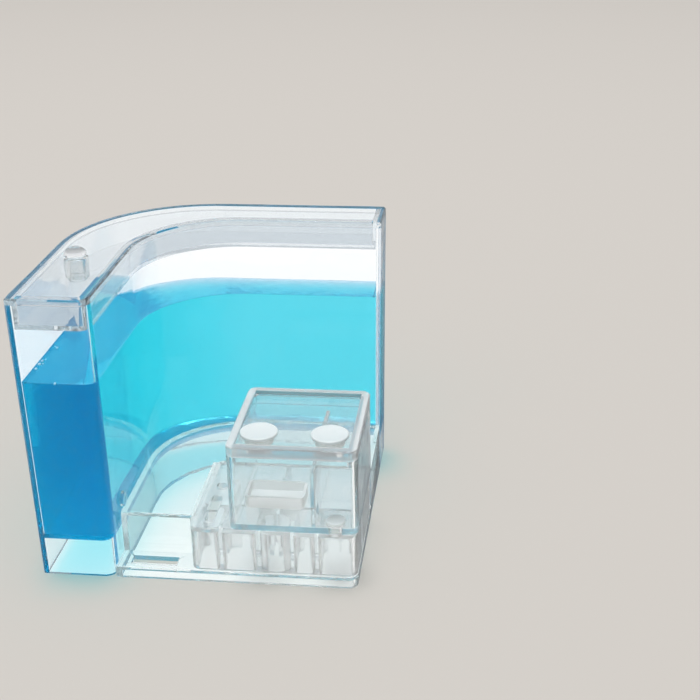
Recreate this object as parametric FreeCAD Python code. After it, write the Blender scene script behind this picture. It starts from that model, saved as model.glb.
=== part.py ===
"""Ant habitat: a clear J-shaped gel tank round an open bay, with a nest block and a lidded feeding box.

Millimetres, +Z up. The sizes below are measured from the front left corner of the tank's rim.
The finished pieces are moved so that the origin is the middle of the footprint, on the ground.
"""
import FreeCAD, Part
import math
import os

# ------------------------------------------------------------------ whole habitat
body_width = 130.0            # left to right over the tank rim
body_depth = 122.0            # front to back over the tank rim
rim_height = 119.0            # ground to the rim of the tank lid
wall_draft = 1.3              # how far an outer wall leans in from the rim down to the ground
wall = 2.0                    # moulded wall of the tank, the bay tray and the feeding box
edge_radius = 1.2             # outer vertical corners that look sharp
least_radius = 0.4            # smallest corner a mould leaves
seat_gap = 0.15               # between fixed pieces that stand side by side
slip_gap = 0.3                # round a lid or box that lifts off
bore_gap = 0.08               # round a plug in its hole
overcut = 1.0                 # how far a cutting solid reaches past the face it opens

# ------------------------------------------------------------------ gel tank
arm_width = 31.5              # left arm of the J
rear_width = 23.5             # rear arm of the J
outer_corner_radius = 58.0    # rear left corner, outside
inner_corner_radius = 40.0    # the same corner, seen from the bay
arm_end_radius = 5.0          # bay side corner of the arm's front end
tank_floor_height = 18.0      # inside floor of the tank above the ground
tank_floor_thickness = 2.0
gel_level = 84.4              # top of the gel above the ground
gel_gap = 0.3                 # between the gel and the tank

# ------------------------------------------------------------------ tank lid: a tray that hangs in the tank
flange_thickness = 2.5        # rim of the lid, which lies on the tank's walls
flange_chamfer = 0.6          # broken upper edge of the rim
tray_depth = 11.0             # rim down to the tray's floor
lid_wall = 1.6

# ------------------------------------------------------------------ stopper of the watering hole
stopper_x = 9.8
stopper_y = 55.0
sleeve_top_radius = 5.2
sleeve_foot_radius = 4.7
sleeve_height = 8.6
sleeve_neck_radius = 3.9
sleeve_neck_length = 2.6
sleeve_bore_radius = 2.8
knob_flange_radius = 4.9
knob_neck_radius = 4.1
knob_neck_height = 0.6
knob_flange_height = 0.8
crown_facets = 10
crown_waist_radius = 4.3
crown_waist_height = 1.3
crown_table_radius = 2.5
crown_height = 2.2
stopper_stem_length = 7.0

# ------------------------------------------------------------------ tunnel between tank and bay
tunnel_y = 17.5
tunnel_height = 26.6
tunnel_radius = 2.4
tunnel_head_radius = 3.3
tunnel_head_thickness = 1.4

# ------------------------------------------------------------------ bay tray: deck, ledge and foot
deck_height = 22.5
deck_front = 13.5             # front face of the deck behind the rim's front
deck_thickness = 2.0
foot_height = 4.8
foot_thickness = 2.0
foot_corner_radius = 4.0
slot_left_margin = 5.15       # tray's left edge to the ledge's slot
slot_right_margin = 6.6       # the slot to the nest block
slot_width = 5.0
slot_y = 7.6

# ------------------------------------------------------------------ nest block
nest_width = 66.35
nest_setback = 1.0            # behind the foot's front edge
nest_rear = 57.0
nest_height = 24.0            # top of the block above the ground
nest_roof = 2.6
nest_corner_radius = 4.0
cell_wall = 1.6
cell_depth = 16.2             # front row of cells, front to back
cell_corner_radius = 2.2
cell_lines = [12.0, 26.8, 40.3, 50.2]     # walls between the front cells, from the block's left face
round_cell = 2                # which front cell is round, counted from the left
gallery_line = 31.8           # wall between the galleries, from the block's left face
doorway_width = 5.0
doorway_height = 6.2
tunnel_line_y = 13.0          # doorways between neighbouring front cells
ramp_slot_inset = 6.6         # middle of the slot from the block's left face
ramp_slot_y = 18.0
ramp_slot_length = 20.0
ramp_slot_width = 4.4
ant_hole_y = 36.0             # in line with the slot
ant_hole_radius = 2.2

# ------------------------------------------------------------------ feeding box on the nest block
box_width = 50.8
box_front = 2.4
box_right_margin = 0.9        # inside the rim's right edge
box_rear = 56.4
box_top = 55.8
box_corner_radius = 3.5
box_floor = 1.8
plinth_inset = 3.0            # locating plinth under the box
plinth_height = 1.0
plinth_floor_gap = 0.2
divider_inset = 17.6          # middle of the divider from the box's right face
divider_thickness = 1.6
divider_top = 50.0
divider_door_y = 12.0
dish_inset = 15.7             # middle of the dish from the box's left face
dish_y = 24.0
dish_length = 24.0
dish_width = 14.0
dish_height = 5.0
dish_wall = 1.1
dish_corner_radius = 2.5
passage_inset = 9.5           # middle of the passage from the box's right face
passage_y = 9.2
passage_radius = 3.1
passage_head_radius = 3.9
passage_head_thickness = 1.3

# ------------------------------------------------------------------ feeding lid
lid_top = 60.0
lid_border = 3.4              # raised rim round the lid
lid_border_rise = 1.2
lid_plate = 2.2
lid_border_chamfer = 0.4
skirt_wall = 1.4
skirt_bottom = 52.6
vent_y = 16.8
vent_left_inset = 11.0        # middle of the left vent from the box's left face
vent_right_inset = 12.0       # middle of the right vent from the box's right face
vent_hole_radius = 5.9
vent_head_radius = 7.5
vent_head_thickness = 1.5
vent_head_round = 0.5
vent_spigot_length = 4.6
vent_spigot_wall = 1.2

# ------------------------------------------------------------------ sizes worked out from those above
wall_top = rim_height - flange_thickness
tray_floor = rim_height - tray_depth
bay_rear = body_depth - rear_width
foot_right = body_width - wall_draft
foot_front = wall_draft
deck_left = arm_width + seat_gap
deck_rear = bay_rear - seat_gap
nest_front = foot_front + nest_setback
nest_right = foot_right - seat_gap
nest_left = nest_right - nest_width
cell_walls = [nest_left + line for line in cell_lines]
gallery_wall = nest_left + gallery_line
ramp_slot_x = nest_left + ramp_slot_inset
slot_left = deck_left + slot_left_margin
slot_right = nest_left - slot_right_margin
box_right = body_width - box_right_margin
box_left = box_right - box_width
divider_x = box_right - divider_inset
dish_x = box_left + dish_inset
passage_x = box_right - passage_inset
vent_left_x = box_left + vent_left_inset
vent_right_x = box_right - vent_right_inset
box_floor_top = nest_height + box_floor
lid_plate_top = lid_top - lid_border_rise
lid_plate_bottom = lid_plate_top - lid_plate


# ------------------------------------------------------------------ shape helpers
def point(x, y, z):
    return FreeCAD.Vector(x, y, z)


def inward(radius, inset):
    """Radius of a convex corner after its wall is set in, never under what a mould leaves."""
    return max(radius - inset, least_radius)


def outline(corners, height):
    """Closed wire through (x, y, radius) corners, each rounded by an arc of its own radius."""
    arcs = []
    count = len(corners)
    for index, (x, y, radius) in enumerate(corners):
        here = point(x, y, height)
        last_x, last_y, _ = corners[index - 1]
        next_x, next_y, _ = corners[(index + 1) % count]
        back = (point(last_x, last_y, height) - here).normalize()
        ahead = (point(next_x, next_y, height) - here).normalize()
        half_angle = back.getAngle(ahead) / 2
        reach = radius / math.tan(half_angle)
        to_centre = (back + ahead).normalize()
        crest = here + to_centre * (radius / math.sin(half_angle) - radius)
        arcs.append((here + back * reach, crest, here + ahead * reach))
    edges = []
    for index, (start, crest, end) in enumerate(arcs):
        edges.append(Part.Arc(start, crest, end).toShape())
        next_start = arcs[(index + 1) % count][0]
        edges.append(Part.LineSegment(end, next_start).toShape())
    return Part.Wire(edges)


def rectangle(left, front, right, rear, radius):
    return [(left, front, radius), (right, front, radius), (right, rear, radius), (left, rear, radius)]


def prism(corners, bottom, top):
    return Part.Face(outline(corners, bottom)).extrude(point(0, 0, top - bottom))


def upright(radius, x, y, bottom, top):
    return Part.makeCylinder(radius, top - bottom, point(x, y, bottom))


def turned(profile, x, y):
    """Solid of revolution about the vertical line at x, y from (radius, height) points."""
    points = [point(radius, 0, height) for radius, height in profile]
    face = Part.Face(Part.makePolygon(points + points[:1]))
    solid = face.revolve(point(0, 0, 0), point(0, 0, 1), 360)
    solid.translate(point(x, y, 0))
    return solid


def archway(width, height, depth, floor):
    """Round-topped doorway solid along +Y, standing on the floor and centred on x = 0."""
    half = width / 2
    spring = floor + height - half
    left_foot = point(-half, 0, floor)
    right_foot = point(half, 0, floor)
    left_spring = point(-half, 0, spring)
    right_spring = point(half, 0, spring)
    crown = point(0, 0, floor + height)
    edges = [
        Part.LineSegment(left_foot, right_foot).toShape(),
        Part.LineSegment(right_foot, right_spring).toShape(),
        Part.Arc(right_spring, crown, left_spring).toShape(),
        Part.LineSegment(left_spring, left_foot).toShape(),
    ]
    return Part.Face(Part.Wire(edges)).extrude(point(0, depth, 0))


def break_edges(solid, size, chosen):
    """Chamfer the edges that the chosen test picks."""
    edges = [edge for edge in solid.Edges if chosen(edge)]
    return solid.makeChamfer(size, edges)


def lies_at(height):
    """Test for edges that run level at a height."""
    def test(edge):
        box = edge.BoundBox
        return abs(box.ZMin - height) < 1e-4 and abs(box.ZMax - height) < 1e-4
    return test


# ------------------------------------------------------------------ gel tank, gel and tank lid
def lean(height):
    """How far the outer walls stand in from the rim's outline at a height."""
    return wall_draft * (1 - height / rim_height)


def tank_corners(height, inset):
    """J-shaped plan of the tank at a height, set in by a wall or a gap."""
    left = lean(height) + inset
    front = lean(height) + inset
    right = body_width - lean(height) - inset
    rear = body_depth - lean(height) - inset
    bay_left = arm_width - inset
    bay_back = bay_rear + inset
    sharp = inward(edge_radius, inset)
    return [
        (left, front, sharp),
        (bay_left, front, inward(arm_end_radius, inset)),
        (bay_left, bay_back, inner_corner_radius + inset),
        (right, bay_back, sharp),
        (right, rear, sharp),
        (left, rear, inward(outer_corner_radius, inset)),
    ]


def tank_solid(bottom, top, inset):
    """Drafted solid on the J-shaped plan."""
    lower = outline(tank_corners(bottom, inset), bottom)
    upper = outline(tank_corners(top, inset), top)
    return Part.makeLoft([lower, upper], True, True)


def make_tank_body():
    body = tank_solid(0, wall_top, 0)
    cavity = tank_solid(tank_floor_height, wall_top + overcut, wall)
    underside = tank_solid(-overcut, tank_floor_height - tank_floor_thickness, wall)
    start = point(arm_width - wall - overcut, tunnel_y, tunnel_height)
    tunnel = Part.makeCylinder(tunnel_radius, wall + 2 * overcut, start, point(1, 0, 0))
    return body.cut(cavity).cut(underside).cut(tunnel)


def make_ant_gel():
    return tank_solid(tank_floor_height + gel_gap, gel_level, wall + gel_gap)


def make_tank_lid():
    hang = wall + slip_gap
    flange = tank_solid(wall_top, rim_height, 0)
    flange = break_edges(flange, flange_chamfer, lies_at(rim_height))
    tray = tank_solid(tray_floor - lid_wall, wall_top + flange_thickness / 2, hang)
    recess = tank_solid(tray_floor, rim_height + overcut, hang + lid_wall)
    neck_hole = upright(sleeve_neck_radius, stopper_x, stopper_y, tray_floor - lid_wall - overcut,
                        tray_floor + overcut)
    return flange.fuse(tray).cut(recess).cut(neck_hole)


# ------------------------------------------------------------------ stopper
def make_stopper_sleeve():
    neck_radius = sleeve_neck_radius - bore_gap
    foot = tray_floor
    top = tray_floor + sleeve_height
    neck_end = tray_floor - sleeve_neck_length
    profile = [
        (sleeve_bore_radius, neck_end),
        (neck_radius, neck_end),
        (neck_radius, foot),
        (sleeve_foot_radius, foot),
        (sleeve_top_radius, top),
        (sleeve_bore_radius, top),
    ]
    return turned(profile, stopper_x, stopper_y)


def crown_ring(radius, height, turn):
    """Closed polygon with one corner for each facet of the crown."""
    corners = []
    for index in range(crown_facets + 1):
        angle = 2 * math.pi * (index % crown_facets + turn) / crown_facets
        corners.append(point(radius * math.cos(angle), radius * math.sin(angle), height))
    return Part.makePolygon(corners)


def make_stopper_knob():
    seat = tray_floor + sleeve_height
    flange_foot = seat + knob_neck_height
    flange_top = flange_foot + knob_flange_height
    waist = flange_top + crown_waist_height
    table = flange_top + crown_height
    stem_radius = sleeve_bore_radius - bore_gap
    profile = [
        (0, seat - stopper_stem_length),
        (stem_radius, seat - stopper_stem_length),
        (stem_radius, seat),
        (knob_neck_radius, seat),
        (knob_neck_radius, flange_foot),
        (knob_flange_radius, flange_foot),
        (knob_flange_radius, flange_top),
        (0, flange_top),
    ]
    rings = [
        crown_ring(knob_flange_radius, flange_top, 0),
        crown_ring(crown_waist_radius, waist, 0),
        crown_ring(crown_table_radius, table, 0),
    ]
    crown = Part.makeLoft(rings, True, True)
    crown.translate(point(stopper_x, stopper_y, 0))
    return turned(profile, stopper_x, stopper_y).fuse(crown).removeSplitter()


def make_tunnel_plug():
    seat = point(arm_width, tunnel_y, tunnel_height)
    head = Part.makeCylinder(tunnel_head_radius, tunnel_head_thickness, seat, point(1, 0, 0))
    stem_start = point(arm_width - wall, tunnel_y, tunnel_height)
    stem = Part.makeCylinder(tunnel_radius - bore_gap, wall + tunnel_head_thickness / 2, stem_start,
                             point(1, 0, 0))
    return head.fuse(stem).removeSplitter()


# ------------------------------------------------------------------ bay tray
def deck_corners(inset):
    """L-shaped plan of the deck, which goes round the nest block's place."""
    pocket_left = nest_left - seat_gap
    pocket_rear = nest_rear + seat_gap
    sharp = least_radius
    return [
        (deck_left + inset, deck_front + inset, sharp),
        (pocket_left - inset, deck_front + inset, sharp),
        (pocket_left - inset, pocket_rear + inset, sharp),
        (foot_right - inset, pocket_rear + inset, sharp),
        (foot_right - inset, deck_rear - inset, sharp),
        (deck_left + inset, deck_rear - inset, inward(inner_corner_radius - seat_gap, inset)),
    ]


def foot_corners(inset):
    """Plan of the low foot under the ledge, the nest block and the deck."""
    sharp = least_radius
    return [
        (deck_left + inset, foot_front + inset, sharp),
        (foot_right - inset, foot_front + inset, inward(foot_corner_radius, inset)),
        (foot_right - inset, deck_rear - inset, sharp),
        (deck_left + inset, deck_rear - inset, inward(inner_corner_radius - seat_gap, inset)),
    ]


def make_bay_tray():
    deck = prism(deck_corners(0), 0, deck_height)
    foot = prism(foot_corners(0), 0, foot_height)
    under_deck = prism(deck_corners(wall), -overcut, deck_height - deck_thickness)
    under_foot = prism(foot_corners(wall), -overcut, foot_height - foot_thickness)
    half_width = slot_width / 2
    slot_plan = rectangle(slot_left, slot_y - half_width, slot_right, slot_y + half_width, least_radius)
    slot = prism(slot_plan, -overcut, foot_height + overcut)
    return deck.fuse(foot).cut(under_deck).cut(under_foot).cut(slot).removeSplitter()


# ------------------------------------------------------------------ nest block
def front_cells():
    """Left and right limits of the front cells, from the corridor on the left to the right wall."""
    lefts = [nest_left + wall] + [line + cell_wall / 2 for line in cell_walls]
    rights = [line - cell_wall / 2 for line in cell_walls] + [nest_right - wall]
    return list(zip(lefts, rights))


def box_corners(inset):
    return rectangle(box_left + inset, box_front + inset, box_right - inset, box_rear - inset,
                     inward(box_corner_radius, inset))


def nest_pockets():
    """Hollows of the block, open at the bottom: the front row of cells and the two galleries behind."""
    floor = foot_height - overcut
    roof = nest_height - nest_roof
    cell_front = nest_front + wall
    cell_rear = cell_front + cell_depth
    gallery_front = cell_rear + cell_wall
    gallery_rear = nest_rear - wall
    pockets = []
    for index, (left, right) in enumerate(front_cells()):
        if index == round_cell:
            radius = (right - left) / 2
            pockets.append(upright(radius, (left + right) / 2, cell_front + radius, floor, roof))
        else:
            plan = rectangle(left, cell_front, right, cell_rear, cell_corner_radius)
            pockets.append(prism(plan, floor, roof))
    gallery_edges = [nest_left + wall, gallery_wall - cell_wall / 2, gallery_wall + cell_wall / 2,
                     nest_right - wall]
    for left, right in (gallery_edges[:2], gallery_edges[2:]):
        plan = rectangle(left, gallery_front, right, gallery_rear, cell_corner_radius)
        pockets.append(prism(plan, floor, roof))
    return pockets


def nest_doorways():
    """Arched doorways from each front cell to the galleries, and across the cell walls."""
    cell_front = nest_front + wall
    gallery_front = cell_front + cell_depth + cell_wall
    doorways = []
    cells = front_cells()
    for index, (left, right) in enumerate(cells):
        middle = (left + right) / 2
        shift = doorway_width * 0.55
        is_double = index == len(cells) - 1
        places = [middle - shift, middle + shift] if is_double else [middle]
        start = cell_front + (right - left) / 2 if index == round_cell else cell_front + cell_depth - overcut
        for place in places:
            door = archway(doorway_width, doorway_height, gallery_front + overcut - start, foot_height)
            door.translate(point(place, start, 0))
            doorways.append(door)
    span = cell_walls[-1] - cell_walls[0] + cell_wall + 2 * overcut
    cross = archway(doorway_width, doorway_height, span, foot_height)
    cross.rotate(point(0, 0, 0), point(0, 0, 1), -90)
    cross.translate(point(cell_walls[0] - cell_wall / 2 - overcut, tunnel_line_y, 0))
    doorways.append(cross)
    link = archway(doorway_width, doorway_height, cell_wall + 2 * overcut, foot_height)
    link.rotate(point(0, 0, 0), point(0, 0, 1), -90)
    link_y = (gallery_front + nest_rear - wall) / 2
    link.translate(point(gallery_wall - cell_wall / 2 - overcut, link_y, 0))
    doorways.append(link)
    return doorways


def make_nest_block():
    plan = rectangle(nest_left, nest_front, nest_right, nest_rear, nest_corner_radius)
    block = prism(plan, foot_height, nest_height)
    for hollow in nest_pockets() + nest_doorways():
        block = block.cut(hollow)
    seat_plan = box_corners(plinth_inset - seat_gap)
    block = block.cut(prism(seat_plan, nest_height - plinth_height - plinth_floor_gap, nest_height + overcut))
    roof = nest_height - nest_roof - overcut
    sky = nest_height + overcut
    half_length = ramp_slot_length / 2
    half_width = ramp_slot_width / 2
    ramp_plan = rectangle(ramp_slot_x - half_width, ramp_slot_y - half_length, ramp_slot_x + half_width,
                          ramp_slot_y + half_length, half_width * 0.98)
    block = block.cut(prism(ramp_plan, roof, sky))
    block = block.cut(upright(ant_hole_radius, ramp_slot_x, ant_hole_y, roof, sky))
    return block.cut(upright(passage_radius, passage_x, passage_y, roof, sky))


# ------------------------------------------------------------------ feeding box and what is in it
def make_feeding_box():
    shell = prism(box_corners(0), nest_height, box_top)
    room = prism(box_corners(wall), box_floor_top, box_top + overcut)
    plinth = prism(box_corners(plinth_inset), nest_height - plinth_height, nest_height + box_floor / 2)
    passage = upright(passage_radius, passage_x, passage_y, nest_height - plinth_height - overcut,
                      box_floor_top + overcut)
    return shell.cut(room).fuse(plinth).cut(passage).removeSplitter()


def make_box_divider():
    front = box_front + wall + seat_gap
    rear = box_rear - wall - seat_gap
    left = divider_x - divider_thickness / 2
    plate = Part.makeBox(divider_thickness, rear - front, divider_top - box_floor_top,
                         point(left, front, box_floor_top))
    door = archway(doorway_width, doorway_height, divider_thickness + 2 * overcut, box_floor_top)
    door.rotate(point(0, 0, 0), point(0, 0, 1), -90)
    door.translate(point(left - overcut, divider_door_y, 0))
    return plate.cut(door)


def make_food_dish():
    left = dish_x - dish_length / 2
    front = dish_y - dish_width / 2
    right = dish_x + dish_length / 2
    rear = dish_y + dish_width / 2
    top = box_floor_top + dish_height
    body = prism(rectangle(left, front, right, rear, dish_corner_radius), box_floor_top, top)
    bowl_plan = rectangle(left + dish_wall, front + dish_wall, right - dish_wall, rear - dish_wall,
                          inward(dish_corner_radius, dish_wall))
    return body.cut(prism(bowl_plan, box_floor_top + dish_wall, top + overcut))


def make_passage_plug():
    spigot_foot = nest_height - plinth_height
    spigot = upright(passage_radius - bore_gap, passage_x, passage_y, spigot_foot, box_floor_top)
    head = upright(passage_head_radius, passage_x, passage_y, box_floor_top,
                   box_floor_top + passage_head_thickness)
    return spigot.fuse(head)


# ------------------------------------------------------------------ feeding lid and its vent plugs
def make_feeding_lid():
    slab = prism(box_corners(0), box_top, lid_top)
    slab = break_edges(slab, lid_border_chamfer, lies_at(lid_top))
    tray = prism(box_corners(lid_border), lid_plate_top, lid_top + overcut)
    skirt_gap = wall + slip_gap
    hollow = prism(box_corners(skirt_gap + skirt_wall), skirt_bottom - overcut, lid_plate_bottom)
    skirt = prism(box_corners(skirt_gap), skirt_bottom, lid_plate_bottom)
    lid = slab.cut(tray).fuse(skirt).cut(hollow)
    for vent_x in (vent_left_x, vent_right_x):
        lid = lid.cut(upright(vent_hole_radius, vent_x, vent_y, lid_plate_bottom - overcut, lid_top))
    return lid.removeSplitter()


def make_vent_plug(vent_x):
    outer = vent_hole_radius - bore_gap
    inner = outer - vent_spigot_wall
    spigot_foot = lid_plate_top - vent_spigot_length
    head_top = lid_plate_top + vent_head_thickness
    profile = [
        (outer, spigot_foot),
        (outer, lid_plate_top),
        (vent_head_radius, lid_plate_top),
        (vent_head_radius, head_top - vent_head_round),
        (vent_head_radius - vent_head_round, head_top),
        (0, head_top),
        (0, lid_plate_top),
        (inner, lid_plate_top),
        (inner, spigot_foot),
    ]
    return turned(profile, vent_x, vent_y)


# ------------------------------------------------------------------ one STEP file for each piece
pieces = {
    "tank_body": make_tank_body(),
    "ant_gel": make_ant_gel(),
    "tank_lid": make_tank_lid(),
    "stopper_sleeve": make_stopper_sleeve(),
    "stopper_knob": make_stopper_knob(),
    "tunnel_plug": make_tunnel_plug(),
    "bay_tray": make_bay_tray(),
    "nest_block": make_nest_block(),
    "feeding_box": make_feeding_box(),
    "box_divider": make_box_divider(),
    "food_dish": make_food_dish(),
    "passage_plug": make_passage_plug(),
    "feeding_lid": make_feeding_lid(),
    "vent_plug_left": make_vent_plug(vent_left_x),
    "vent_plug_right": make_vent_plug(vent_right_x),
}

os.makedirs("parts", exist_ok=True)
for name, shape in pieces.items():
    shape.translate(point(-body_width / 2, -body_depth / 2, 0))
    shape.exportStep(f"parts/{name}.step")
    solids = len(shape.Solids)
    print(f"{name}: {solids} solid, valid {shape.isValid()}, {shape.Volume / 1000:.2f} cm3")
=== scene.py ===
"""Looks of the ant habitat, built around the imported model, in its frame. Metres, +Z up."""
import math

import bmesh
import bpy
from mathutils import Matrix, Vector


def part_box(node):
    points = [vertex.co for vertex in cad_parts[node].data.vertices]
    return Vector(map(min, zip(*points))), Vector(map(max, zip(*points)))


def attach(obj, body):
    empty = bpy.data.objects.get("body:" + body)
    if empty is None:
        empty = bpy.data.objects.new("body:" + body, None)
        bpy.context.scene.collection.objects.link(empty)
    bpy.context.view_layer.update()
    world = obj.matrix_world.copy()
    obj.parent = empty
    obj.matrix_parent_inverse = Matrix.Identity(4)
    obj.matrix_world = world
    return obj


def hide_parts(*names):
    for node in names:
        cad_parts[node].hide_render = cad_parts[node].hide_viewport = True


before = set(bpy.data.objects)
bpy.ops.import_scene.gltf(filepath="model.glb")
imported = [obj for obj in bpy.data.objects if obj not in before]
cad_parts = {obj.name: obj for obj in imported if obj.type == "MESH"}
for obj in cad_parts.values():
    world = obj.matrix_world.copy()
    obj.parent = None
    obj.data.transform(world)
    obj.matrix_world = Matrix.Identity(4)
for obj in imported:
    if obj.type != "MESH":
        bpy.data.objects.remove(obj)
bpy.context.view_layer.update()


# ------------------------------------------------------------------ camera
# A short telephoto on a tripod in front of the habitat and a little above its lid.
# It looks down at the open bay, so the left arm, the rear arm and the feeding box all show.
camera_place = Vector((0.111516, -0.471479, 0.284388))
camera_turn = -0.1189          # to the left of straight back, radians
camera_dip = 0.4134            # below the horizon
camera_roll = -0.017
camera_focal = 1258.12         # in pixels of a frame that is 700 pixels wide
frame_pixels = 700

camera_data = bpy.data.cameras.new("tripod_camera")
camera_data.sensor_width = 36
camera_data.lens = camera_data.sensor_width * camera_focal / frame_pixels
camera_data.clip_start = 0.01
camera = bpy.data.objects.new("tripod_camera", camera_data)
aim = Matrix.Rotation(-camera_turn, 4, "Z") @ Matrix.Rotation(math.pi / 2 - camera_dip, 4, "X")
camera.matrix_world = Matrix.Translation(camera_place) @ aim @ Matrix.Rotation(camera_roll, 4, "Z")
bpy.context.scene.collection.objects.link(camera)
bpy.context.scene.camera = camera


# ------------------------------------------------------------------ table and studio light
# A seamless beige paper sweep, lit by one large softbox high above and by the pale ceiling round
# it. Through the clear plastic the paper shows as white card, and above the horizon the studio is
# dark, which draws the thin dark lines along the edges of clear mouldings.
def linear(hex_colour):
    """Linear red, green, blue and alpha of an sRGB hex colour."""
    channels = [int(hex_colour[place:place + 2], 16) / 255 for place in (1, 3, 5)]
    return [c / 12.92 if c <= 0.04045 else ((c + 0.055) / 1.055) ** 2.4 for c in channels] + [1.0]


def add_node(tree, kind, settings=None, links=None):
    """Add a node, set its own settings and input values, and link its inputs to other sockets."""
    node = tree.nodes.new(kind)
    for name, value in (settings or {}).items():
        if isinstance(name, str) and hasattr(node, name):
            setattr(node, name, value)
        else:
            node.inputs[name].default_value = value
    for name, socket in (links or {}).items():
        tree.links.new(socket, node.inputs[name])
    return node


paper_colour = linear("#D4CFC9")
card_colour = linear("#F7F6F4")
tent_colour = linear("#F6F8F9")
room_colour = linear("#3A4046")
shelf_colour = linear("#6E7478")
white = linear("#FFFFFF")
paper_half = 3.0
paper_drop = 0.0002            # below the habitat's feet, so that the two never share a plane
card_glow = 0.13               # what the tent adds to the card that shows through the plastic
mirrored_tent = 0.25           # polished faces mirror the tent at a quarter of its strength
dark_room_height = 0.36        # share of the tent's light left above the horizon
ceiling_glow = (0.18, 0.65)    # soft light from the sides, and from straight above
window_glow = 0.95             # soft light from the front

paper = bpy.data.materials.new("seamless_paper")
paper.use_nodes = True
tree = paper.node_tree
tree.nodes.clear()
# the paper's grain, about a millimetre across
grain = add_node(tree, "ShaderNodeTexNoise", {"Scale": 900.0, "Detail": 3.0},
                 {"Vector": add_node(tree, "ShaderNodeTexCoord").outputs["Object"]})
relief = add_node(tree, "ShaderNodeBump", {"Strength": 0.05, "Distance": 0.0003},
                  {"Height": grain.outputs["Fac"]})
lit = add_node(tree, "ShaderNodeBsdfDiffuse", {"Color": paper_colour},
               {"Normal": relief.outputs["Normal"]})
through = add_node(tree, "ShaderNodeAddShader", None,
                   {0: add_node(tree, "ShaderNodeBsdfDiffuse", {"Color": card_colour}).outputs[0],
                    1: add_node(tree, "ShaderNodeEmission",
                                {"Color": tent_colour, "Strength": card_glow}).outputs[0]})
mirrored = add_node(tree, "ShaderNodeEmission", {"Color": shelf_colour, "Strength": 1.0})
rays = add_node(tree, "ShaderNodeLightPath")
mix = add_node(tree, "ShaderNodeMixShader", None,
               {0: rays.outputs["Is Glossy Ray"], 1: lit.outputs[0], 2: mirrored.outputs[0]})
mix = add_node(tree, "ShaderNodeMixShader", None,
               {0: rays.outputs["Is Transmission Ray"], 1: mix.outputs[0], 2: through.outputs[0]})
add_node(tree, "ShaderNodeOutputMaterial", None, {"Surface": mix.outputs[0]})

sheet = bmesh.new()
bmesh.ops.create_grid(sheet, x_segments=1, y_segments=1, size=paper_half)
bmesh.ops.translate(sheet, verts=sheet.verts, vec=(0, 0, -paper_drop))
paper_mesh = bpy.data.meshes.new("paper_sweep")
sheet.to_mesh(paper_mesh)
sheet.free()
paper_mesh.materials.append(paper)
paper_sweep = bpy.data.objects.new("paper_sweep", paper_mesh)
bpy.context.scene.collection.objects.link(paper_sweep)

world = bpy.data.worlds.new("light_tent")
bpy.context.scene.world = world
world.use_nodes = True
tree = world.node_tree
tree.nodes.clear()
direction = add_node(tree, "ShaderNodeSeparateXYZ", None,
                     {0: add_node(tree, "ShaderNodeTexCoord").outputs["Generated"]})
# the tent stands behind and beside the habitat: towards the camera and high up the room is dark
depth = add_node(tree, "ShaderNodeMapRange", {"From Min": -0.80, "From Max": -0.20},
                 {"Value": direction.outputs["Y"]})
height = add_node(tree, "ShaderNodeMapRange",
                  {"From Min": 0.55, "From Max": 0.25, "To Min": dark_room_height},
                  {"Value": direction.outputs["Z"]})
share = add_node(tree, "ShaderNodeMath", {"operation": "MULTIPLY"},
                 {0: depth.outputs["Result"], 1: height.outputs["Result"]})
walls = add_node(tree, "ShaderNodeMix", {"data_type": "RGBA", "A": room_colour, "B": tent_colour})
tree.links.new(share.outputs[0], walls.inputs["Factor"])
tent = add_node(tree, "ShaderNodeBackground", {"Strength": 1.0}, {"Color": walls.outputs[2]})
dim_tent = add_node(tree, "ShaderNodeBackground", {"Strength": mirrored_tent},
                    {"Color": walls.outputs[2]})
sweep = add_node(tree, "ShaderNodeBackground", {"Color": paper_colour, "Strength": 1.0})
ceiling = add_node(tree, "ShaderNodeMapRange",
                   {"From Min": 0.45, "From Max": 0.95,
                    "To Min": ceiling_glow[0], "To Max": ceiling_glow[1]},
                   {"Value": direction.outputs["Z"]})
window = add_node(tree, "ShaderNodeMapRange",
                  {"From Min": -0.20, "From Max": -0.70, "To Max": window_glow},
                  {"Value": direction.outputs["Y"]})
brighter = add_node(tree, "ShaderNodeMath", {"operation": "MAXIMUM"},
                    {0: ceiling.outputs["Result"], 1: window.outputs["Result"]})
soft = add_node(tree, "ShaderNodeBackground", {"Color": white}, {"Strength": brighter.outputs[0]})
rays = add_node(tree, "ShaderNodeLightPath")
mix = add_node(tree, "ShaderNodeMixShader", None,
               {0: rays.outputs["Is Glossy Ray"], 1: soft.outputs[0], 2: dim_tent.outputs[0]})
mix = add_node(tree, "ShaderNodeMixShader", None,
               {0: rays.outputs["Is Transmission Ray"], 1: mix.outputs[0], 2: tent.outputs[0]})
mix = add_node(tree, "ShaderNodeMixShader", None,
               {0: rays.outputs["Is Camera Ray"], 1: mix.outputs[0], 2: sweep.outputs[0]})
add_node(tree, "ShaderNodeOutputWorld", None, {"Surface": mix.outputs[0]})

softbox = bpy.data.lights.new("overhead_softbox", "AREA")
softbox.shape = "SQUARE"
softbox.size = 1.2
softbox.energy = 90.0
softbox_place = Vector((-0.20, 0.34, 4.20))
softbox_holder = bpy.data.objects.new("overhead_softbox", softbox)
softbox_holder.matrix_world = (Matrix.Translation(softbox_place)
                               @ (-softbox_place).to_track_quat("-Z", "Y").to_matrix().to_4x4())
bpy.context.scene.collection.objects.link(softbox_holder)

bpy.context.scene.view_settings.view_transform = "Standard"
# light runs along inside the clear walls, turned back many times at their polished faces
light_turns = 64
cycles = bpy.context.scene.cycles
cycles.max_bounces = light_turns
cycles.glossy_bounces = light_turns
cycles.transmission_bounces = light_turns
cycles.transparent_max_bounces = light_turns
cycles.caustics_refractive = False
cycles.caustics_reflective = False


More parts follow.
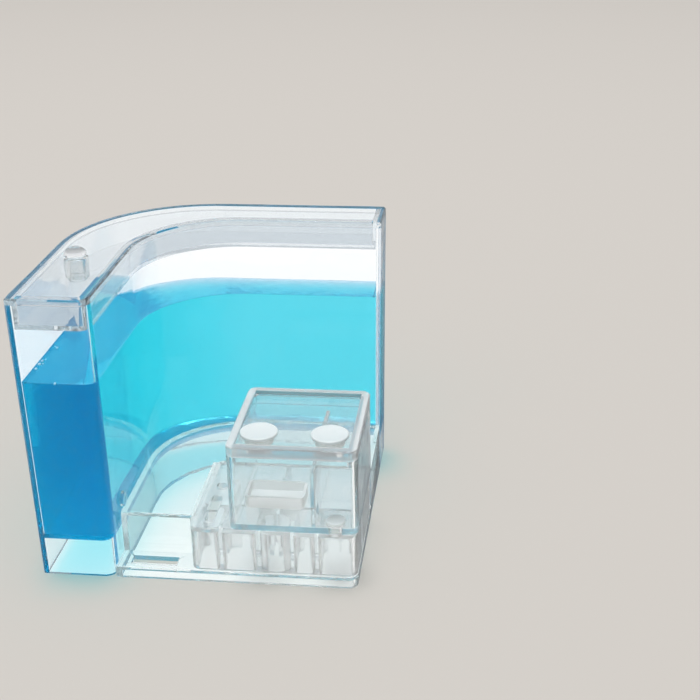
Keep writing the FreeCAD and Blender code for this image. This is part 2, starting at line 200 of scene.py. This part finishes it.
# ------------------------------------------------------------------ tank
# One clear moulding: the J-shaped double wall, its floor and the hollow skirt it stands on.
# Polished mould faces, with edges broken by a third of a millimetre so that they catch the light.
air_film = 0.00002             # taken off each clear moulding, so that air shows where two touch
same_point = 2e-6
flat_within = math.radians(0.3)
sharp_beyond = math.radians(30)


def clear_polystyrene(name, tone, tint, density, haze, gloss, bloom):
    """Crystal polystyrene, moulded in a polished or a frosted tool.

    The tone is the colour of its faces. The tint and its density colour long paths inside it, the
    haze roughens the faces, the gloss weakens straight reflections, and the bloom is the share of
    the face that fine scuffs cover.
    """
    material = bpy.data.materials.new(name)
    material.use_nodes = True
    tree = material.node_tree
    tree.nodes.clear()
    place = add_node(tree, "ShaderNodeTexCoord").outputs["Object"]
    # flow lines of the melt, a centimetre apart, only just deep enough to bend a reflection
    flow = add_node(tree, "ShaderNodeTexNoise", {"Scale": 90.0, "Detail": 2.0}, {"Vector": place})
    relief = add_node(tree, "ShaderNodeBump", {"Strength": 0.12, "Distance": 0.0004},
                      {"Height": flow.outputs["Fac"]})
    # haze that comes and goes every two centimetres, from handling
    handled = add_node(tree, "ShaderNodeTexNoise", {"Scale": 60.0, "Detail": 5.0},
                       {"Vector": place})
    rough = add_node(tree, "ShaderNodeMapRange", {"To Min": haze * 0.4, "To Max": haze * 1.6},
                     {"Value": handled.outputs["Fac"]})
    body = add_node(tree, "ShaderNodeBsdfPrincipled",
                    {"Base Color": linear(tone), "IOR": 1.58, "Transmission Weight": 1.0,
                     "Specular Tint": (gloss, gloss, gloss, 1.0)},
                    {"Roughness": rough.outputs["Result"], "Normal": relief.outputs["Normal"]})
    scuffs = add_node(tree, "ShaderNodeBsdfDiffuse", {"Color": linear("#FCFDFE")})
    surface = add_node(tree, "ShaderNodeMixShader", {0: bloom},
                       {1: body.outputs[0], 2: scuffs.outputs[0]})
    # soft light and shadow rays pass straight through, as if the faces didn't bend them
    open_to_light = add_node(tree, "ShaderNodeBsdfTransparent", {"Color": linear("#FDFEFE")})
    rays = add_node(tree, "ShaderNodeLightPath")
    soft_light = add_node(tree, "ShaderNodeMath", {"operation": "MAXIMUM"},
                          {0: rays.outputs["Is Shadow Ray"], 1: rays.outputs["Is Diffuse Ray"]})
    mix = add_node(tree, "ShaderNodeMixShader", None,
                   {0: soft_light.outputs[0], 1: surface.outputs[0], 2: open_to_light.outputs[0]})
    depth = add_node(tree, "ShaderNodeVolumeAbsorption",
                     {"Color": linear(tint), "Density": density})
    add_node(tree, "ShaderNodeOutputMaterial", None,
             {"Surface": mix.outputs[0], "Volume": depth.outputs[0]})
    return material


def set_down(shape, name, body, slot, material, *nodes):
    """Turn a finished bmesh into a piece that rides on a body and stands for the named nodes."""
    mesh = bpy.data.meshes.new(name)
    shape.to_mesh(mesh)
    shape.free()
    mesh.materials.append(material)
    mesh.shade_smooth()
    piece = bpy.data.objects.new(name, mesh)
    bpy.context.scene.collection.objects.link(piece)
    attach(piece, body)
    if nodes:
        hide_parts(*nodes)
    return piece


def break_edges(shape, width, segments):
    """Round every sharp edge to the given width."""
    corners = [e for e in shape.edges if e.is_manifold and e.calc_face_angle(0) > sharp_beyond]
    bmesh.ops.bevel(shape, geom=corners, offset=width, offset_type="OFFSET", segments=segments,
                    profile=0.5, affect="EDGES", clamp_overlap=True, material=-1)


def moulded_shape(node, growth, edge_break):
    """A node's own shape as one closed moulding, its faces moved out and its edges broken."""
    shape = bmesh.new()
    shape.from_mesh(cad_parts[node].data)
    bmesh.ops.remove_doubles(shape, verts=shape.verts, dist=same_point)
    bmesh.ops.dissolve_limit(shape, angle_limit=flat_within, verts=shape.verts, edges=shape.edges)
    wide = [f for f in shape.faces if len(f.verts) > 4]
    bmesh.ops.triangulate(shape, faces=wide, quad_method="BEAUTY", ngon_method="BEAUTY")
    shape.normal_update()
    for vert in shape.verts:
        vert.co += vert.normal * vert.calc_shell_factor() * growth
    break_edges(shape, edge_break, 2)
    return shape


def moulding(node, name, body, slot, material, edge_break):
    """A clear moulding in its node's place, with even shading on its flat faces."""
    piece = set_down(moulded_shape(node, -air_film, edge_break), name, body, slot, material, node)
    piece.modifiers.new("flat_faces", "WEIGHTED_NORMAL").keep_sharp = False
    return piece


tank_clear = clear_polystyrene("polished_clear_polystyrene", tone="#FDFEFF", tint="#A9CAD8",
                               density=5.0, haze=0.02, gloss=0.3, bloom=0.0)
moulding("tank_body", "clear_tank", "habitat", "clear_plastic", tank_clear, 0.0003)


# ------------------------------------------------------------------ gel
# Clear blue nutrient gel, poured in warm and set, so it fills the tank to one level and wets the
# walls. It climbs them a little at its edge, and some crumbs were left when it was poured.
mm = 0.001
gel_cloud = linear("#00C2FF")
gel_dye = linear("#00F9FD")
wet_gleam = linear("#0095CB")
cloud_share = 0.20             # of the light that meets the gel's face, thrown back milky
dye_density = 90.0             # per metre, for the red that the dye takes out
gel_wetting = 0.00036          # out to the wall and a hair into it, so that no air shows between
meniscus_width = 0.0018
meniscus_drop = 0.0007

gel = bpy.data.materials.new("set_blue_gel")
gel.use_nodes = True
tree = gel.node_tree
tree.nodes.clear()
place = add_node(tree, "ShaderNodeTexCoord").outputs["Object"]
# the face of the set gel waves a little, seven millimetres from crest to crest
wobble = add_node(tree, "ShaderNodeTexNoise", {"Scale": 140.0, "Detail": 3.0}, {"Vector": place})
relief = add_node(tree, "ShaderNodeBump", {"Strength": 0.25, "Distance": 0.0006},
                  {"Height": wobble.outputs["Fac"]})
wet = add_node(tree, "ShaderNodeBsdfPrincipled",
               {"Base Color": white, "IOR": 1.34, "Transmission Weight": 1.0,
                "Specular Tint": wet_gleam, "Roughness": 0.12},
               {"Normal": relief.outputs["Normal"]})
cloud = add_node(tree, "ShaderNodeBsdfDiffuse", {"Color": gel_cloud})
surface = add_node(tree, "ShaderNodeMixShader", {0: cloud_share},
                   {1: wet.outputs[0], 2: cloud.outputs[0]})
open_to_light = add_node(tree, "ShaderNodeBsdfTransparent", {"Color": white})
rays = add_node(tree, "ShaderNodeLightPath")
soft_light = add_node(tree, "ShaderNodeMath", {"operation": "MAXIMUM"},
                      {0: rays.outputs["Is Shadow Ray"], 1: rays.outputs["Is Diffuse Ray"]})
mix = add_node(tree, "ShaderNodeMixShader", None,
               {0: soft_light.outputs[0], 1: surface.outputs[0], 2: open_to_light.outputs[0]})
dye = add_node(tree, "ShaderNodeVolumeAbsorption", {"Color": gel_dye, "Density": dye_density})
add_node(tree, "ShaderNodeOutputMaterial", None,
         {"Surface": mix.outputs[0], "Volume": dye.outputs[0]})

shape = moulded_shape("ant_gel", gel_wetting, 0.0004)
shape.normal_update()
gel_top = max(vert.co.z for vert in shape.verts)
level = [f for f in shape.faces
         if f.normal.z > 0.999 and f.calc_center_median().z > gel_top - 0.01 * mm]
bmesh.ops.inset_region(shape, faces=level, thickness=meniscus_width, depth=0.0,
                       use_even_offset=True)
sunk = {vert for face in level for vert in face.verts}
bmesh.ops.translate(shape, verts=list(sunk), vec=(0, 0, -meniscus_drop))
poured = set_down(shape, "nutrient_gel", "habitat", "blue_gel", gel, "ant_gel")
poured.modifiers.new("flat_faces", "WEIGHTED_NORMAL").keep_sharp = False

crumb_gel = bpy.data.materials.new("broken_gel_crumbs")
crumb_gel.use_nodes = True
tree = crumb_gel.node_tree
tree.nodes.clear()
place = add_node(tree, "ShaderNodeTexCoord").outputs["Object"]
froth = add_node(tree, "ShaderNodeTexNoise", {"Scale": 1400.0, "Detail": 2.0}, {"Vector": place})
tone = add_node(tree, "ShaderNodeMix",
                {"data_type": "RGBA", "A": linear("#3FA9DC"), "B": linear("#F2FAFF")})
tree.links.new(froth.outputs["Fac"], tone.inputs["Factor"])
body = add_node(tree, "ShaderNodeBsdfPrincipled",
                {"IOR": 1.34, "Roughness": 0.2, "Subsurface Weight": 0.5, "Subsurface Scale": 0.001,
                 "Subsurface Radius": (1.0, 1.0, 1.0)},
                {"Base Color": tone.outputs[2]})
add_node(tree, "ShaderNodeOutputMaterial", None, {"Surface": body.outputs[0]})

gel_corner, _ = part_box("ant_gel")
# along the arm's left wall, in mm: in from the gel's side, behind its front, radius
crumbs = [
    (0.7, 13.2, 0.55), (0.6, 17.4, 0.70), (1.7, 18.3, 0.35), (0.6, 20.6, 0.60), (1.4, 22.4, 0.30),
    (2.3, 33.8, 0.45), (1.0, 35.1, 0.30), (12.4, 0.9, 0.50),
]
shape = bmesh.new()
for inward, behind, radius in crumbs:
    lump = bmesh.ops.create_icosphere(shape, subdivisions=2, radius=radius * mm)["verts"]
    bmesh.ops.scale(shape, verts=lump, vec=(1.0, 1.3, 0.8))
    lump_place = (gel_corner.x + inward * mm, gel_corner.y + behind * mm,
                  gel_top - meniscus_drop + radius * mm / 2)
    bmesh.ops.translate(shape, verts=lump, vec=lump_place)
set_down(shape, "gel_crumbs", "habitat", "blue_gel", crumb_gel)


# ------------------------------------------------------------------ tank lid
# A clear tray with a flat rim: the rim lies on the tank's walls and the tray hangs inside them.
# One moulding of slightly greyer plastic than the tank, with a round hole for the stopper.
lid_clear = clear_polystyrene("grey_clear_polystyrene", tone="#E9EDF0", tint="#BFDDE8",
                              density=3.0, haze=0.01, gloss=0.8, bloom=0.0)
moulding("tank_lid", "sunk_lid", "tank_cover", "clear_plastic", lid_clear, 0.00035)


# ------------------------------------------------------------------ watering stopper
# A frosted sleeve pressed into the lid's hole, and a clear knob, cut like glass, whose stem plugs
# it. Both are round mouldings; the knob's crown has ten flat facets round a small hollow top.
def turned(profile, foot, axis, steps, edge_break):
    """Closed solid spun from (radius, height) points in mm, about an axis through its foot."""
    shape = bmesh.new()
    line = [shape.verts.new((radius * mm, 0, rise * mm)) for radius, rise in profile]
    runs = [shape.edges.new(pair) for pair in zip(line, line[1:])]
    bmesh.ops.spin(shape, geom=line + runs, cent=(0, 0, 0), axis=(0, 0, 1), angle=2 * math.pi,
                   steps=steps, use_merge=True, use_duplicate=False)
    bmesh.ops.remove_doubles(shape, verts=shape.verts, dist=1e-6)
    bmesh.ops.recalc_face_normals(shape, faces=shape.faces)
    if edge_break:
        break_edges(shape, edge_break, 3)
    stand = Vector(axis).to_track_quat("Z", "Y").to_matrix().to_4x4()
    bmesh.ops.transform(shape, matrix=Matrix.Translation(foot) @ stand, verts=shape.verts)
    return shape


def middle_foot(node):
    """Point under the middle of a node, at its lowest level."""
    low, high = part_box(node)
    return Vector(((low.x + high.x) / 2, (low.y + high.y) / 2, low.z))


frosted = clear_polystyrene("frosted_clear_polystyrene", tone="#FDFEFF", tint="#D8E2E8",
                            density=4.0, haze=0.13, gloss=1.0, bloom=0.14)
# neck in the lid's hole, shoulder on the lid, body that widens a little, bore right through
sleeve = [(2.82, 0.0), (3.78, 0.0), (3.78, 2.62), (4.90, 2.62), (5.10, 10.6), (4.90, 10.9),
          (2.82, 10.9), (2.82, 0.0)]
shape = turned(sleeve, middle_foot("stopper_sleeve"), (0, 0, 1), 64, 0.12)
set_down(shape, "watering_sleeve", "tank_cover", "frosted_plastic", frosted, "stopper_sleeve")

stem = [(0.0, 0.0), (2.5, 0.0), (2.7, 0.3), (2.7, 7.02), (0.0, 7.02)]
shape = turned(stem, middle_foot("stopper_knob"), (0, 0, 1), 48, 0.0)
crown = [(0.0, 7.04), (4.2, 7.04), (4.85, 7.6), (4.85, 8.2), (4.0, 9.3), (2.9, 10.2),
         (2.3, 10.55), (0.0, 9.9)]
facets = turned(crown, middle_foot("stopper_knob"), (0, 0, 1), 10, 0.0)
cut = bpy.data.meshes.new("crown_facets")
facets.to_mesh(cut)
facets.free()
shape.from_mesh(cut)
bpy.data.meshes.remove(cut)
bright_cut = clear_polystyrene("cut_clear_polystyrene", tone="#FEFEFF", tint="#DDE8EE",
                               density=2.0, haze=0.01, gloss=1.0, bloom=0.04)
cut_knob = set_down(shape, "cut_knob", "stopper", "clear_plastic", bright_cut, "stopper_knob")
cut_knob.data.shade_flat()


# ------------------------------------------------------------------ tunnel plug
# A small clear plug with a flat, hollowed head that closes the hole between the tank and the bay.
# It lies on its side, and its spigot points into the tank.
clear = clear_polystyrene("clean_clear_polystyrene", tone="#FEFFFF", tint="#BFDDE8",
                          density=3.0, haze=0.03, gloss=0.7, bloom=0.045)
plug_low, plug_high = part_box("tunnel_plug")
plug_foot = Vector((plug_low.x, (plug_low.y + plug_high.y) / 2, (plug_low.z + plug_high.z) / 2))
plug = [(0.0, 0.0), (2.15, 0.0), (2.30, 0.25), (2.30, 2.02), (3.3, 2.02), (3.3, 3.0), (2.9, 3.38),
        (1.6, 3.38), (1.4, 3.1), (0.0, 3.1)]
shape = turned(plug, plug_foot, (1, 0, 0), 48, 0.08)
set_down(shape, "tunnel_stopper_moulding", "tunnel_stopper", "clear_plastic", clear,
         "tunnel_plug")


# ------------------------------------------------------------------ bay tray
# One clear moulding clipped against the tank: the deck the ants forage on, a step down to a low
# ledge with a slot in it, and the foot under the nest.
moulding("bay_tray", "bay_floor", "habitat", "clear_plastic", clear, 0.00025)


# ------------------------------------------------------------------ nest
# A clear block moulded open at the bottom, with five cells in front, two galleries behind them
# and arched doorways. The cells' walls came from a satin tool, so it looks milkier than the tank.
nest_clear = clear_polystyrene("satin_clear_polystyrene", tone="#FEFEFF", tint="#D5E4EA",
                               density=2.0, haze=0.12, gloss=0.7, bloom=0.13)
moulding("nest_block", "nest_moulding", "habitat", "clear_plastic", nest_clear, 0.0002)


# ------------------------------------------------------------------ feeding box
# A clear open box that stands on the nest, with a partition glued in and a doorway cut in that.
moulding("feeding_box", "feeding_room", "feeding_house", "clear_plastic", clear, 0.00025)
moulding("box_divider", "room_divider", "feeding_house", "clear_plastic", clear, 0.0002)


# ------------------------------------------------------------------ food dish
# A shallow translucent dish for food or water, moulded in natural polypropylene.
# It lies loose on the box's floor, in the larger room.
natural = clear_polystyrene("natural_polypropylene", tone="#FEFEFF", tint="#E8EEF2",
                            density=2.0, haze=0.16, gloss=0.9, bloom=0.38)
moulding("food_dish", "feeding_dish", "dish", "frosted_plastic", natural, 0.00015)


# ------------------------------------------------------------------ passage plug
# A milky plug with a round head, pushed into the passage from the nest up to the box.
# It is soft polyethylene, so that it grips the hole, and its spigot has a lead-in chamfer.
def milky_polyethylene(name, colour, roughness):
    """Soft polyolefin: milky all through, satin from the mould, light glows a little way in."""
    material = bpy.data.materials.new(name)
    material.use_nodes = True
    tree = material.node_tree
    tree.nodes.clear()
    place = add_node(tree, "ShaderNodeTexCoord").outputs["Object"]
    # spark-eroded grain of the tool, under a millimetre
    satin = add_node(tree, "ShaderNodeTexNoise", {"Scale": 1500.0, "Detail": 3.0},
                     {"Vector": place})
    relief = add_node(tree, "ShaderNodeBump", {"Strength": 0.15, "Distance": 0.0001},
                      {"Height": satin.outputs["Fac"]})
    cloud = add_node(tree, "ShaderNodeTexNoise", {"Scale": 250.0, "Detail": 3.0}, {"Vector": place})
    rough = add_node(tree, "ShaderNodeMapRange",
                     {"To Min": roughness * 0.8, "To Max": roughness * 1.2},
                     {"Value": cloud.outputs["Fac"]})
    body = add_node(tree, "ShaderNodeBsdfPrincipled",
                    {"Base Color": linear(colour), "IOR": 1.5, "Subsurface Weight": 0.3,
                     "Subsurface Scale": 0.001, "Subsurface Radius": (1.0, 1.0, 1.0)},
                    {"Roughness": rough.outputs["Result"], "Normal": relief.outputs["Normal"]})
    add_node(tree, "ShaderNodeOutputMaterial", None, {"Surface": body.outputs[0]})
    return material


milky = milky_polyethylene("milky_polyethylene", "#EAF3F5", 0.38)
passage_head = 1.28            # thickness of the head, mm
plug_low, plug_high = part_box("passage_plug")
plug_height = (plug_high.z - plug_low.z) / mm
passage_seat = plug_height - passage_head
passage = [(0.0, 0.0), (2.7, 0.0), (3.0, 0.35), (3.0, passage_seat), (3.9, passage_seat),
           (3.9, plug_height - 0.35), (3.5, plug_height), (0.0, plug_height)]
shape = turned(passage, middle_foot("passage_plug"), (0, 0, 1), 48, 0.1)
set_down(shape, "passage_stopper_moulding", "passage_stopper", "white_plastic", milky,
         "passage_plug")


# ------------------------------------------------------------------ feeding lid
# A clear cover with a raised border all round and a skirt that drops into the box.
# The border has a finer satin than the plate, so it shows as a pale frame.
satin_border = clear_polystyrene("satin_border_polystyrene", tone="#FEFEFF", tint="#DDE8EE",
                                 density=2.0, haze=0.06, gloss=1.0, bloom=0.28)
border_width = 0.0033
border_foot = 0.0553           # height of the border's lower edge above the ground
cover = moulding("feeding_lid", "feeding_cover", "house_cover", "clear_plastic", clear, 0.0002)
cover.data.materials.append(satin_border)
cover_low, cover_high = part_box("feeding_lid")
for face in cover.data.polygons:
    inside = min(face.center.x - cover_low.x, cover_high.x - face.center.x,
                 face.center.y - cover_low.y, cover_high.y - face.center.y)
    if inside < border_width and face.center.z > border_foot:
        face.material_index = 1


# ------------------------------------------------------------------ vent plugs
# Two milky discs on hollow spigots, soft polyethylene pushed into the cover's round holes.
# Their faces are all but flat inside a low bead, and the rims are rounded.
disc_thickness = 1.48          # mm
bead_height = 0.06             # mm
for node, name, body in [("vent_plug_left", "left_vent_disc", "vent_left"),
                         ("vent_plug_right", "right_vent_disc", "vent_right")]:
    low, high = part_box(node)
    top = (high.z - low.z) / mm
    seat = top - disc_thickness
    # up inside the spigot, down and round its foot, out under the disc, over the rim and the bead
    disc = [(0.0, top - 1.6), (4.3, top - 1.6), (4.6, top - 1.9), (4.6, 0.0), (5.7, 0.0),
            (5.80, 0.4), (5.80, seat), (7.1, seat), (7.45, seat + 0.35), (7.45, top - 0.35),
            (7.35, top - 0.12), (7.1, top), (6.9, top), (6.7, top - bead_height),
            (0.0, top - bead_height)]
    shape = turned(disc, middle_foot(node), (0, 0, 1), 96, 0.06)
    set_down(shape, name, body, "white_plastic", milky, node)
